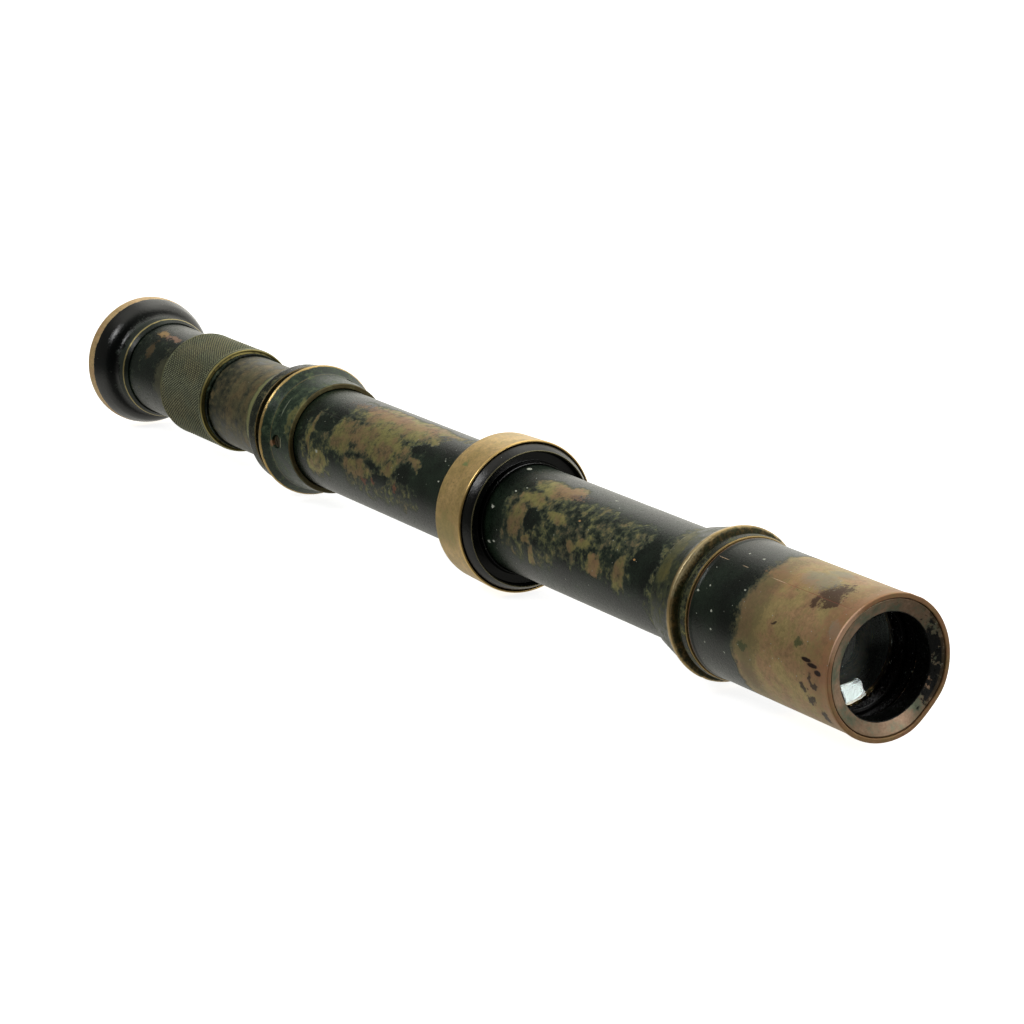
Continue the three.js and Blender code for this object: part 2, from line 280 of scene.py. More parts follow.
def add_piece(name, mesh):
    piece = bpy.data.objects.new(name, mesh)
    bpy.context.scene.collection.objects.link(piece)
    return piece


def adopt(piece, node, finish):
    """piece stands for a CAD node: it takes its finish and rides on the node's body, and the node is
    hidden.
    """
    piece.data.materials.clear()
    piece.data.materials.append(finish)
    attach(piece, frame["nodes"][node]["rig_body"])
    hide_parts(node)


def carve(piece, cutter_meshes):
    """Cuts closed meshes out of a piece, and shades it smooth with sharp edges where it was cut."""
    for i, mesh in enumerate(cutter_meshes):
        cutter = add_piece(f"cutter_{i}", mesh)
        modifier = piece.modifiers.new("cut", "BOOLEAN")
        modifier.operation = "DIFFERENCE"
        modifier.solver = "EXACT"
        modifier.object = cutter
        bpy.context.view_layer.update()
        result = bpy.data.meshes.new_from_object(
            piece.evaluated_get(bpy.context.evaluated_depsgraph_get()))
        piece.modifiers.clear()
        piece.data = result
        bpy.data.objects.remove(cutter)
    bm = bmesh.new()
    bm.from_mesh(piece.data)
    bmesh.ops.remove_doubles(bm, verts=bm.verts, dist=WELD)
    bmesh.ops.dissolve_degenerate(bm, dist=WELD, edges=bm.edges)
    for face in bm.faces:
        face.smooth = True
    for edge in bm.edges:
        edge.smooth = len(edge.link_faces) == 2 and edge.calc_face_angle(0) < SHARP
    bm.to_mesh(piece.data)
    bm.free()


def radial_mesh(name, profile, station, angle, segments=48):
    """A mesh turned about a radial line: profile is (width, height) points in mm, where height is
    the distance from the telescope's axis. It starts and ends on the line."""
    turn = np.linspace(0, 2 * math.pi, segments, endpoint=False)
    points = [(w * math.cos(t) * MM, w * math.sin(t) * MM, h * MM) for w, h in profile for t in turn]
    faces = []
    for i in range(len(profile) - 1):
        here, after = i * segments, (i + 1) * segments
        for j in range(segments):
            k = (j + 1) % segments
            faces.append((here + j, after + j, after + k, here + k))
    mesh = closed_mesh(name, points, faces, weld=1e-7)
    mesh.transform(radial_place(station, angle))
    return mesh


def radial_place(station, angle):
    """Where a piece stands that points out from the axis at this station and angle."""
    outward = Matrix.Rotation(math.radians(90 - angle), 4, "X")
    return Matrix.Translation((FRONT - station * MM, 0, 0)) @ outward


def slot_mesh(station, half_length, half_width, bottom, top):
    """A straight slot with round ends, cut down from the top. Its sizes are in mm."""
    outline = []
    for end in (1, -1):
        for k in range(13):
            t = math.radians(-90 + 15 * k)
            outline.append((end * (half_length - half_width + half_width * math.cos(t)),
                            end * half_width * math.sin(t)))
    n = len(outline)
    points = [(FRONT - station * MM + x * MM, y * MM, z * MM)
              for z in (bottom, top) for x, y in outline]
    faces = [tuple(range(n)), tuple(range(n, 2 * n))]
    faces += [(i, (i + 1) % n, n + (i + 1) % n, n + i) for i in range(n)]
    return closed_mesh("slot", points, faces)


# ---------------------------------------------------------------- materials

def srgb(red, green, blue):
    """A colour as it looks on screen, from 0 to 255, turned into the linear colour of a shader."""
    def linear(value):
        value /= 255
        return value / 12.92 if value <= 0.04045 else ((value + 0.055) / 1.055) ** 2.4
    return (linear(red), linear(green), linear(blue), 1)


class Graph:
    """The nodes of a material or of the world."""

    def __init__(self, owner):
        owner.use_nodes = True
        self.tree = owner.node_tree

    def node(self, kind, settings=None, **inputs):
        node = self.tree.nodes.new(kind)
        for key, value in (settings or {}).items():
            setattr(node, key, value)
        for key, value in inputs.items():
            self.feed(node.inputs[key.replace("_", " ")], value)
        return node

    def feed(self, socket, value):
        if isinstance(value, bpy.types.NodeSocket):
            self.tree.links.new(value, socket)
        else:
            socket.default_value = value

    def math(self, operation, *values):
        node = self.node("ShaderNodeMath", {"operation": operation})
        for socket, value in zip(node.inputs, values):
            self.feed(socket, value)
        return node.outputs[0]

    def step(self, value, low, high, first=0, last=1):
        """first where value is at low or short of it, last at high or past it, smooth between."""
        limits = (low, high, first, last) if low < high else (high, low, last, first)
        node = self.node("ShaderNodeMapRange", {"interpolation_type": "SMOOTHSTEP"}, Value=value)
        for key, limit in zip(("From Min", "From Max", "To Min", "To Max"), limits):
            node.inputs[key].default_value = limit
        return node.outputs[0]

    def mixed_shader(self, mask, first, second, output):
        """Sends the output one shader where mask is 0 and another where it is 1."""
        mix = self.node("ShaderNodeMixShader", Fac=mask)
        self.feed(mix.inputs[1], first.outputs[0])
        self.feed(mix.inputs[2], second.outputs[0])
        self.feed(output.inputs[0], mix.outputs[0])


FINISH = {}


class Paint(Graph):
    """Builds one material and keeps it in FINISH under its name. Sizes in it are millimetres, and
    angles are degrees round the axis."""

    def __init__(self, name):
        FINISH[name] = bpy.data.materials.new(name + "_finish")
        super().__init__(FINISH[name])
        self.shader = self.tree.nodes["Principled BSDF"]
        metres = self.node("ShaderNodeTexCoord").outputs["Object"]
        self.place = self.vector("SCALE", metres, scale=1 / MM)
        split = self.node("ShaderNodeSeparateXYZ", Vector=self.place)
        x, y, z = (split.outputs[axis] for axis in "XYZ")
        self.station = self.math("SUBTRACT", FRONT / MM, x)
        turn = self.math("ARCTAN2", z, self.math("MULTIPLY", y, -1))
        self.angle = self.math("DEGREES", turn)
        self.radius = self.math("SQRT", self.math("ADD", self.math("MULTIPLY", y, y),
                                                  self.math("MULTIPLY", z, z)))
        self.chart = self.node("ShaderNodeCombineXYZ", X=self.station, Y=self.angle).outputs[0]
        wobble = self.noise_node(7, detail=3).outputs["Color"]
        shift = self.vector("MULTIPLY", self.vector("SUBTRACT", wobble, (0.5, 0.5, 0.5)),
                            (9, 24, 0))
        self.ragged = self.vector("ADD", self.chart, shift)

    def vector(self, operation, *values, scale=None):
        node = self.node("ShaderNodeVectorMath", {"operation": operation})
        for socket, value in zip(node.inputs, values):
            self.feed(socket, value)
        if scale is not None:
            self.feed(node.inputs["Scale"], scale)
        return node.outputs["Value" if operation == "LENGTH" else "Vector"]

    def noise_node(self, size, detail=4, rough=0.55, stretch=(1, 1, 1), seed=0):
        where = self.vector("MULTIPLY", self.place, tuple(1 / v for v in stretch))
        where = self.vector("ADD", where, (seed * 37.1, seed * 11.3, seed * 5.7))
        return self.node("ShaderNodeTexNoise", Vector=where, Scale=1 / size, Detail=detail,
                         Roughness=rough)

    def noise(self, size, **how):
        return self.noise_node(size, **how).outputs["Fac"]

    def blend(self, mask, a, b):
        """A number that is a where mask is 0 and b where it is 1."""
        node = self.node("ShaderNodeMix", {"data_type": "FLOAT"})
        for socket, value in zip(node.inputs[:1] + node.inputs[2:4], (mask, a, b)):
            self.feed(socket, value)
        return node.outputs[0]

    def tint(self, mask, a, b):
        """A colour that is a where mask is 0 and b where it is 1."""
        node = self.node("ShaderNodeMix", {"data_type": "RGBA"})
        for socket, value in zip((node.inputs[0], node.inputs[6], node.inputs[7]), (mask, a, b)):
            self.feed(socket, value)
        return node.outputs[2]

    def depth_inside(self, spots, chart=None):
        """How far inside the nearest of these spots a point is: 1 in its middle, 0 at its edge.
        A spot is (station, angle, half length in mm, half width in degrees)."""
        nearest = None
        for station, angle, long, wide in spots:
            scaled = self.vector("MULTIPLY_ADD", chart or self.ragged, (1 / long, 1 / wide, 0),
                                 (-station / long, -angle / wide, 0))
            distance = self.vector("LENGTH", scaled)
            nearest = distance if nearest is None else self.math("MINIMUM", nearest, distance)
        return self.math("SUBTRACT", 1, nearest)

    def patch(self, spots, soft=0.12, ragged=0.5, chart=None, grain=None):
        """A mask over these spots, with an edge broken up by grain."""
        grain = grain or self.noise(3, detail=6, rough=0.65)
        inside = self.depth_inside(spots, chart)
        broken = self.math("MULTIPLY_ADD", self.math("SUBTRACT", grain, 0.5), 2 * ragged, inside)
        return self.step(broken, -soft, soft)

    def bands(self, rings, grain):
        """A mask on rings round the piece: (station, half width, strength)."""
        total = None
        for station, half, strength in rings:
            away = self.math("ABSOLUTE", self.math("SUBTRACT", self.station, station))
            frayed = self.math("MULTIPLY_ADD", self.math("SUBTRACT", grain, 0.5), 1.6 * half, away)
            ring = self.math("MULTIPLY", self.step(frayed, half, 0.4 * half), strength)
            total = ring if total is None else self.math("MAXIMUM", total, ring)
        return total

    def spatter(self, gap, least, spread, soft, bare):
        """A mask of dots about gap mm apart. Their radii, as shares of gap, start at least and vary
        by spread. soft is the width of their edge, and bare the share of places without one."""
        cells = self.node("ShaderNodeTexVoronoi", Vector=self.place, Scale=1 / gap)
        kind = self.node("ShaderNodeSeparateXYZ", Vector=cells.outputs["Color"])
        size = self.math("MULTIPLY_ADD", kind.outputs["Y"], spread, least)
        dots = self.step(self.math("SUBTRACT", cells.outputs["Distance"], size), 0.02, -soft)
        return self.math("MULTIPLY", dots, self.step(kind.outputs["X"], bare, bare + 0.02))

    def finish(self, colour, metallic, roughness, height=None, relief=0.1, **constants):
        """Connects the shader. relief is the height of the bump in mm."""
        self.feed(self.shader.inputs["Base Color"], colour)
        self.feed(self.shader.inputs["Metallic"], metallic)
        self.feed(self.shader.inputs["Roughness"], roughness)
        if height is not None:
            bump = self.node("ShaderNodeBump", Height=height, Distance=relief * MM, Strength=1.0)
            self.feed(self.shader.inputs["Normal"], bump.outputs[0])
        for key, value in constants.items():
            self.shader.inputs[key.replace("_", " ")].default_value = value


BLACK = srgb(13, 22, 15)
UNDERCOAT = srgb(62, 78, 60)
GREEN_BLACK = srgb(34, 48, 36)
OLIVE = srgb(166, 160, 102)
BROWN = srgb(160, 136, 100)
COPPER = srgb(190, 128, 92)
GOLD = srgb(226, 192, 124)
DARK_STAIN = srgb(70, 42, 26)
VERDIGRIS = srgb(96, 140, 84)
CHALK = srgb(205, 210, 196)
PIT = srgb(34, 26, 18)


def worn_enamel(name, wear=-0.3, loss=(), keep=(), net=(), front_loss=None, back_loss=None,
                rings=(), stains_and_painted_light=(), specks=(), lines=(), black=(BLACK, GREEN_BLACK),
                undercoat=UNDERCOAT, bare=(OLIVE, BROWN), gold=GOLD, gloss=0.26, dust=0.6,
                far_side=True, metal_level=0.55, rough=0.42, shine=0.35, keep_depth=1.0,
                dark_bore=0, soft=0.0, ring_metal=0.9):
    """Black enamel over a green-grey undercoat over brass. One field of wear decides which shows:
    it is raised by loss and net, lowered by keep, and broken up by noise. wear is its level on a
    plain stretch: -0.3 is nearly all enamel, 0 half undercoat and 0.8 all brass.

    loss, keep, net and specks are spots, and rings are bands of gold: see depth_inside and bands.
    front_loss and back_loss are (station, slope, fray) of wear that grows towards that end.
    stains and lines are (colour, spots, strength); some of these entries are painted highlights and
    painted reflections. black and bare are two colours each.
    gloss and rough are the roughness of enamel and metal, and shine their specular level.
    dust is the strength of scattered white motes, and far_side adds wear round the back.
    keep_depth is how far keep lowers the wear. Inside dark_bore mm the enamel stays.
    soft widens the change from enamel to metal. ring_metal is how metallic the rings are."""
    p = Paint(name)
    fine = p.noise(1.0, detail=5, rough=0.7)
    grain = p.noise(3.4, detail=8, rough=0.68)
    broad = p.noise(15, detail=4, rough=0.55)
    streaks = p.noise(0.9, detail=4, rough=0.6, stretch=(0.2, 1.6, 1.6), seed=3)

    level = p.math("MULTIPLY_ADD", p.math("SUBTRACT", broad, 0.5), 0.5, wear)
    if far_side:
        facing = p.math("COSINE", p.math("RADIANS", p.math("SUBTRACT", p.angle, SEEN_SIDE)))
        away = p.step(facing, -0.1, -0.45)
        bald = p.math("MULTIPLY_ADD", p.noise(20, detail=3, seed=8), 6, -3.3)
        bald = p.math("MINIMUM", p.math("MULTIPLY", bald, away), 0.7)
        level = p.math("MAXIMUM", level, p.blend(away, wear, bald))
    for spots, most in ((loss, LOSS_LEVEL), (net, NET_LEVEL)):
        if spots:
            inside = p.math("MULTIPLY", p.depth_inside(spots), SPOT_SLOPE)
            level = p.math("MAXIMUM", level, p.math("MINIMUM", inside, most))
    for limit, way in ((front_loss, -1), (back_loss, 1)):
        if limit:
            station, slope, fray = limit
            past = p.math("MULTIPLY", p.math("SUBTRACT", p.station, station), way * slope)
            past = p.math("MULTIPLY_ADD", p.math("SUBTRACT", broad, 0.5), fray, past)
            level = p.math("MAXIMUM", level, p.math("MINIMUM", past, 1.3))
    if keep:
        kept = p.math("MULTIPLY", p.depth_inside(keep), 2.2)
        kept = p.math("MULTIPLY", p.step(kept, -0.2, 1.0), keep_depth)
        level = p.math("SUBTRACT", level, kept)
    if dark_bore:
        level = p.math("SUBTRACT", level, p.step(p.radius, dark_bore + 0.1, dark_bore - 0.1))
    field = p.math("MULTIPLY_ADD", p.math("SUBTRACT", grain, 0.5), GRAIN_WEAR, level)
    field = p.math("MULTIPLY_ADD", p.math("SUBTRACT", fine, 0.5), FINE_WEAR, field)
    under = p.step(field, -0.03 - soft / 3, 0.05 + soft / 3)
    mask = p.step(field, 0.24 - 0.5 * soft, 0.36 + 0.5 * soft)

    # colours of the three layers
    colour = p.tint(p.step(p.math("ADD", broad, p.math("MULTIPLY", fine, 0.5)), 0.6, 0.95),
                    black[0], black[1])
    dull = p.vector("SCALE", undercoat[:3], scale=p.blend(p.step(grain, 0.4, 0.7), 0.7, 1.25))
    colour = p.tint(under, colour, dull)
    mottle = p.math("MULTIPLY_ADD", fine, 0.35, p.noise(8, detail=5, rough=0.6, seed=2))
    metal = p.tint(p.step(mottle, 0.58, 0.8), bare[0], bare[1])
    shade = p.math("MULTIPLY_ADD", fine, 1.1, p.math("MULTIPLY_ADD", grain, 0.8, -0.23))
    shade = p.math("MULTIPLY_ADD", streaks, 0.35, shade)
    metal = p.vector("SCALE", metal, scale=shade)
    pits = p.spatter(1.9, 0, 0.16, 0.05, 0.78)
    metal = p.tint(p.math("MULTIPLY", pits, 0.7), metal, PIT)
    colour = p.tint(mask, colour, metal)

    metallic = p.math("MULTIPLY", mask, metal_level)
    roughness = p.blend(under, p.blend(fine, gloss - 0.08, gloss + 0.14), 0.5)
    brushed = p.blend(p.step(streaks, 0.3, 0.7), rough - 0.05, rough + 0.14)
    roughness = p.blend(mask, roughness, brushed)
    height = p.math("MULTIPLY_ADD", under, -0.45, p.math("MULTIPLY", mask, -0.4))
    height = p.math("MULTIPLY_ADD", fine, p.blend(mask, 1.3, 0.4), height)
    height = p.math("MULTIPLY_ADD", streaks, 0.2, height)

    # Tinted spots: stains, and in places a painted reflection.
    for tone, spots, strength in stains_and_painted_light:
        speckled = p.math("MULTIPLY_ADD", fine, 0.6, p.math("MULTIPLY", grain, 0.4))
        tinted = p.patch(spots, soft=0.3, ragged=2.0, grain=speckled)
        tinted = p.math("MULTIPLY", tinted, strength)
        colour = p.tint(tinted, colour, tone)
        metallic = p.math("MULTIPLY", metallic, p.math("MULTIPLY_ADD", tinted, -0.8, 1))
        roughness = p.blend(tinted, roughness, 0.5)
        height = p.math("MULTIPLY_ADD", tinted, 0.3, height)
    if rings:
        bright = p.bands(rings, grain)
        colour = p.tint(bright, colour, gold)
        metallic = p.math("MAXIMUM", metallic, p.math("MULTIPLY", bright, ring_metal))
        roughness = p.blend(bright, roughness, 0.3)
    # Lines: scratches and marks, and on some rims a painted highlight.
    for tone, spots, strength in lines:
        line = p.patch(spots, soft=0.25, ragged=0.35, chart=p.chart, grain=fine)
        line = p.math("MULTIPLY", line, strength)
        colour = p.tint(line, colour, tone)
        height = p.math("MULTIPLY_ADD", line, -0.8, height)
    if specks:
        speck = p.patch(specks, soft=0.2, ragged=1.4, chart=p.chart, grain=fine)
        colour = p.tint(speck, colour, CHALK)
        roughness = p.blend(speck, roughness, 0.7)
        height = p.math("MULTIPLY_ADD", speck, 0.7, height)
    if dust:
        motes = p.spatter(1.6, 0.03, 0.12, 0.02, 0.84)
        colour = p.tint(p.math("MULTIPLY", motes, dust), colour, CHALK)
    p.finish(colour, metallic, roughness, height, relief=0.07, Specular_IOR_Level=shine)


def blank_metal(name, low, high, metallic, rough, lathe=0.35):
    """A plain turned metal with fine lathe marks and soft staining."""
    p = Paint(name)
    fine = p.noise(1.4, detail=5, rough=0.65)
    marks = p.noise(0.5, detail=3, stretch=(1, 14, 14), seed=4)
    colour = p.tint(p.step(p.noise(6, detail=5), 0.38, 0.66), low, high)
    roughness = p.blend(p.step(fine, 0.3, 0.7), rough - 0.07, rough + 0.1)
    height = p.math("MULTIPLY_ADD", marks, lathe, p.math("MULTIPLY", fine, 0.5))
    p.finish(colour, metallic, roughness, height, relief=0.05)


def knurled_metal(name, low, high, groove_tone):
    """Diamond knurling: darker towards the bottom of the grooves, the plain colours on the tips,
    brighter end edges.
    """
    p = Paint(name)
    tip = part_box("focusing_ring")[1].y / MM / math.cos(math.pi / CAD_RING_FACETS)
    fine = p.noise(2.0, detail=5, rough=0.6)
    broad = p.noise(12, detail=3)
    colour = p.tint(p.step(broad, 0.4, 0.62), low, high)
    lift = p.math("MULTIPLY_ADD", p.math("SUBTRACT", fine, 0.5), 0.2, p.radius)
    # Darker towards the bottom of each groove, set by the radius alone.
    near_tip = p.step(lift, tip - KNURL_DEPTH * 0.85, tip - 0.02)
    colour = p.tint(near_tip, groove_tone, colour)
    edges = p.bands([(444.0, 0.8, 0.9), (483.2, 0.5, 0.8)], fine)
    colour = p.tint(edges, colour, srgb(172, 160, 98))
    colour = p.tint(p.bands([(445.2, 0.4, 0.9), (482.5, 0.3, 0.7)], fine), colour, groove_tone)
    metallic = p.blend(edges, 0.4, 0.9)
    roughness = p.blend(fine, 0.34, 0.55)
    p.finish(colour, metallic, roughness, fine, relief=0.03)


def optical_glass(name):
    """Clear glass with faint wiping marks. The reflections are weak, as on old darkened lenses."""
    p = Paint(name)
    smear = p.step(p.noise(9, detail=4), 0.35, 0.8)
    roughness = p.math("MULTIPLY", smear, 0.004)
    colour = p.tint(smear, (0.9, 0.97, 0.95, 1), (0.88, 0.96, 0.93, 1))
    p.finish(colour, 0.0, roughness, Transmission_Weight=1.0, IOR=1.52, Specular_IOR_Level=0.2)


def finishes():
    """Every finish that the pieces use."""
    worn_enamel(
        "barrel", metal_level=0.42, soft=0.7, front_loss=(51, 0.22, 2.4),
        keep=[(65, 20, 12, 120)], far_side=False,
        bare=(srgb(190, 168, 114), srgb(188, 152, 112)), rings=[(0.2, 0.5, 0.35), (76.6, 0.4, 0.3)],
        gold=srgb(196, 142, 106), dust=0.9,
        stains_and_painted_light=[(srgb(92, 88, 58), [(45, 20, 6, 70)], 0.55),
                (srgb(150, 100, 72), [(5, 50, 6, 90)], 0.4),
                (DARK_STAIN, [(17, 66, 5.5, 13), (13, 58, 3, 6), (20, 53, 2.5, 5)], 0.9),
                # Pale grey patches on top of the bare brass and by the front edge: painted reflection
                # of the bright studio.
                (srgb(150, 148, 128), [(28, 74, 8, 11), (26, 92, 5, 6), (3.5, 38, 3, 8)], 0.6),
                (srgb(70, 84, 48), [(45.5, 0, 2.2, 3.5), (18, 22, 2, 3.5)], 0.8),
                (COPPER, [(2, 20, 3, 200), (36, 66, 12, 8)], 0.3),
                (srgb(60, 46, 30), [(11, -25, 2, 5), (8, -6, 1.6, 3), (13, -13, 1.2, 4),
                                    (6, -35, 1.3, 4), (32, 27, 0.9, 1.5)], 0.9)],
        # The pale line on the front edge, from 12 to 64 degrees, is a painted highlight where the key
        # lamp catches the rim; the other lines are scratches and marks.
        lines=[(srgb(240, 196, 164), [(0.3, 38, 0.45, 26)], 0.8),
               (srgb(46, 28, 18), [(12, 9, 2.6, 1.7), (8.6, 6.4, 2.6, 1.7), (5.4, 2.4, 1.8, 2.2)], 1),
               (srgb(150, 78, 52), [(22, 58, 22, 0.3)], 0.6),
               (srgb(240, 206, 168), [(42, 58, 4, 0.3), (61, 58.5, 1.6, 0.25),
                                      (73, 58.5, 2.6, 0.3)], 0.8)],
        specks=[(70, 33, 0.4, 0.8), (75, 26, 0.6, 0.9), (65, 15, 0.45, 1), (64, 1, 0.5, 0.8),
                (58, 72, 0.5, 1.1), (66, 72, 0.4, 0.8), (53, 40, 0.5, 0.7), (68, -12, 0.4, 0.8),
                (57, -14, 0.4, 0.8)])
    worn_enamel(
        "bezel", wear=0.8, bare=(srgb(184, 154, 128), srgb(128, 134, 112)),
        black=(srgb(12, 14, 12), srgb(18, 20, 16)), undercoat=srgb(16, 18, 14),
        rings=[(0.5, 0.3, 0.3)], gold=srgb(150, 128, 98), dust=0.5, far_side=False, rough=0.36,
        metal_level=0.7, keep=[(4, 180, 30, 62), (4, -180, 30, 56)], keep_depth=0.62, dark_bore=18.5)
    worn_enamel(
        "front_collar", wear=-0.1, soft=0.9, black=(srgb(26, 34, 22), srgb(40, 50, 34)),
        undercoat=srgb(64, 76, 52), loss=[(97, 40, 6, 24), (100, 62, 3, 25)],
        rings=[(84.8, 1.5, 1.0), (102.6, 0.4, 0.4)], gold=srgb(196, 170, 118),
        bare=(srgb(128, 122, 74), srgb(112, 112, 72)), ring_metal=0.7,
        # Painted highlight: a pale line along the worn rim, from 14 to 66 degrees, where the key lamp
        # catches it.
        lines=[(srgb(244, 224, 176), [(84.3, 40, 0.8, 26)], 0.75)])
    worn_enamel(
        "front_ring", wear=-0.05, black=(srgb(32, 38, 26), srgb(44, 50, 34)),
        undercoat=srgb(84, 88, 58), rings=[(77.5, 0.35, 0.6), (80.9, 0.25, 0.5)], dust=0,
        far_side=False)
    worn_enamel(
        "tube", wear=-0.38, soft=0.6,
        net=[(145, 34, 40, 34), (185, 20, 24, 40), (292, -8, 30, 18), (345, 10, 12, 40),
             (105, 40, 5, 70)],
        loss=[(184, 68, 14, 15), (189, 47, 11, 10), (195, 22, 6, 22), (171, 36, 8, 6),
              (185.5, 8, 3, 6), (182.5, -12, 2.4, 13), (141, 9, 6, 12), (157, 18, 4, 7),
              (150, 25, 5, 7), (126, 10, 5, 24), (174, 78, 7, 9),
              (302, 40, 27, 24), (300, 70, 36, 18), (287, 14, 6, 11), (271, 33, 6, 6),
              (271, 66, 5, 8), (312, 4, 13, 13), (327, 34, 11, 24), (343, -2, 8, 12),
              (351.5, 20, 1.8, 28), (347, -14, 8, 12), (292, 88, 42, 9)],
        keep=[(186, 30, 4.5, 14), (275, 52, 3, 5), (257, 30, 11, 60), (344, 38, 7, 12),
              (209, 0, 6, 200), (113, 30, 7, 32), (293, 2, 6, 6)],
        # The long light brown spot on top, from station 274 to 334, is a painted reflection of the
        # bright studio on bare brass; the other spots are stains.
        stains_and_painted_light=[(srgb(176, 132, 100), [(177, 70, 9, 9), (141, 9, 4, 9), (304, 78, 30, 8)], 0.5),
                (srgb(152, 92, 66), [(298, -5, 2.2, 3), (281, -2, 1.6, 3.5), (305, -6, 2, 3)], 0.55)],
        lines=[(srgb(220, 170, 110), [(158.5, 44, 0.6, 1), (119, 29, 0.7, 1)], 1),
               (srgb(24, 26, 20), [(344, 50, 14, 1)], 0.6)],
        specks=[(211, 24, 0.8, 1.8), (211, 82, 1.2, 2.4), (212, -14, 1.1, 1.6), (208, -11, 0.8, 1.1),
                (203, 48, 0.6, 1), (199, 56, 0.5, 0.8), (344, 4, 0.9, 1.6), (254, 49, 0.5, 0.9),
                (251, 26, 0.5, 0.9), (155, 86, 0.8, 1.1)], dust=0.85)
    worn_enamel(
        "band", wear=1.0, bare=(srgb(234, 200, 136), srgb(218, 188, 124)),
        rings=[(218.3, 0.6, 1.0)], dust=0.2, far_side=False, rough=0.36, metal_level=0.45,
        stains_and_painted_light=[(VERDIGRIS, [(227, 48, 2.2, 2.5)], 0.7),
                (srgb(150, 148, 92), [(229, -6, 8, 14)], 0.5)])
    worn_enamel(
        "gloss_black", wear=-0.55, black=(srgb(6, 8, 8), srgb(12, 14, 13)), gloss=0.16,
        rings=[(214.4, 0.2, 0.55)], gold=srgb(176, 168, 128), far_side=False, shine=0.5)
    worn_enamel(
        "flange", wear=-0.14, soft=0.7, black=(srgb(34, 50, 37), srgb(48, 66, 51)),
        undercoat=srgb(68, 90, 69), rings=[(380.7, 0.7, 0.8), (376.4, 0.3, 0.2), (363.1, 0.3, 0.22)],
        loss=[(365, 30, 2, 30)], bare=(srgb(140, 140, 90), srgb(120, 122, 84)),
        lines=[(srgb(150, 160, 136), [(372, 36, 0.3, 11)], 0.7),
               (srgb(164, 122, 88), [(375.6, -3, 1.2, 3.2)], 0.85),
               # A pale crescent on the front rim of the screw hole at 0 degrees: a painted highlight
               # on a worn edge.
               (srgb(150, 150, 120), [(369.2, 0, 0.45, 5)], 0.9)])
    worn_enamel(
        "back_ring", wear=-0.1, soft=0.3, black=(srgb(24, 30, 22), srgb(36, 42, 30)),
        undercoat=srgb(70, 74, 52), gloss=0.24, rings=[(388.2, 0.25, 0.3)])
    worn_enamel(
        "housing", wear=-0.1, soft=1.2, black=(srgb(24, 34, 26), srgb(36, 46, 36)),
        undercoat=srgb(66, 72, 56), net=[(423, 40, 14, 200)],
        loss=[(420, 40, 7, 70), (409, 40, 4, 110), (439, 18, 1.4, 5)],
        bare=(srgb(146, 128, 92), srgb(124, 118, 86)), rings=[(402.6, 3.0, 0.7)],
        gold=srgb(176, 178, 122), ring_metal=0.3)
    worn_enamel("washer", wear=-0.1, dust=0, far_side=False, soft=0.3,
                bare=(srgb(140, 128, 84), srgb(100, 96, 66)))
    worn_enamel(
        "neck", wear=-0.24, soft=0.5, black=(srgb(18, 28, 21), srgb(30, 42, 33)),
        undercoat=srgb(58, 70, 58), gloss=0.26,
        stains_and_painted_light=[(srgb(186, 152, 100), [(508, 68, 5, 6)], 0.85),
                (srgb(176, 136, 112), [(497, 66, 6, 3.5)], 0.75),
                (srgb(120, 98, 66), [(506, 42, 2.4, 12)], 0.5),
                (srgb(118, 116, 88), [(489, 12, 5, 32)], 0.4)])
    worn_enamel("seat_ring", wear=-0.4, rings=[(521.4, 0.5, 0.7)],
                gold=srgb(206, 190, 130), dust=0, far_side=False)
    worn_enamel(
        "eyecup", wear=-0.5, black=(srgb(8, 11, 11), srgb(16, 21, 19)),
        undercoat=srgb(44, 54, 48), gloss=0.13, shine=0.6, back_loss=(538.8, 1.6, 0.6),
        bare=(srgb(242, 208, 150), srgb(232, 192, 142)), rings=[(543.6, 2.6, 0.4)], far_side=False,
        metal_level=0.25, ring_metal=0.3,
        stains_and_painted_light=[(srgb(56, 66, 58), [(524.6, 0, 3.4, 400)], 0.7)], dust=0.3)
    knurled_metal("knurl", srgb(156, 162, 126), srgb(172, 170, 128), srgb(16, 20, 14))
    blank_metal("matt_black", srgb(7, 8, 7), srgb(16, 17, 15), 0.0, 0.55)
    blank_metal("satin_black", srgb(10, 11, 10), srgb(22, 20, 17), 0.0, 0.24)
    blank_metal("inner_brass", srgb(86, 66, 40), srgb(120, 94, 58), 0.8, 0.42)
    blank_metal("screw", srgb(78, 70, 52), srgb(130, 112, 80), 0.7, 0.42)
    optical_glass("glass")


# ---------------------------------------------------------------- surface relief

def wrapped(degrees):
    """An angle between -180 and 180."""
    return (degrees + 180) % 360 - 180


def uneven(seed, height=0.012):
    """Slow hand-polished waves over a surface, in mm."""
    dice = random.Random(seed)
    waves = [(dice.uniform(18, 60), dice.randint(1, 5), dice.uniform(0, 2 * math.pi))
             for _ in range(5)]

    def relief(s, a, r):
        total = 0
        for length, turns, phase in waves:
            total = total + np.sin(2 * math.pi * s / length + turns * np.radians(a) + phase)
        return height * total / len(waves)
    return relief


def dings(spots, base=None):
    """Small knocks: (station, angle, depth in mm, reach in mm along, reach in degrees round)."""
    def relief(s, a, r):
        total = base(s, a, r) if base else np.zeros_like(s)
        for station, angle, depth, along, around in spots:
            away = ((s - station) / along) ** 2 + (wrapped(a - angle) / around) ** 2
            total = total + np.where(away < 1, depth * (1 - away) ** 2, 0)
        return total
    return relief


def outside_only(limit, relief):
    """Applies a relief to the outer wall and leaves the bore alone."""
    return lambda s, a, r: np.where(r > limit, relief(s, a, r), 0)


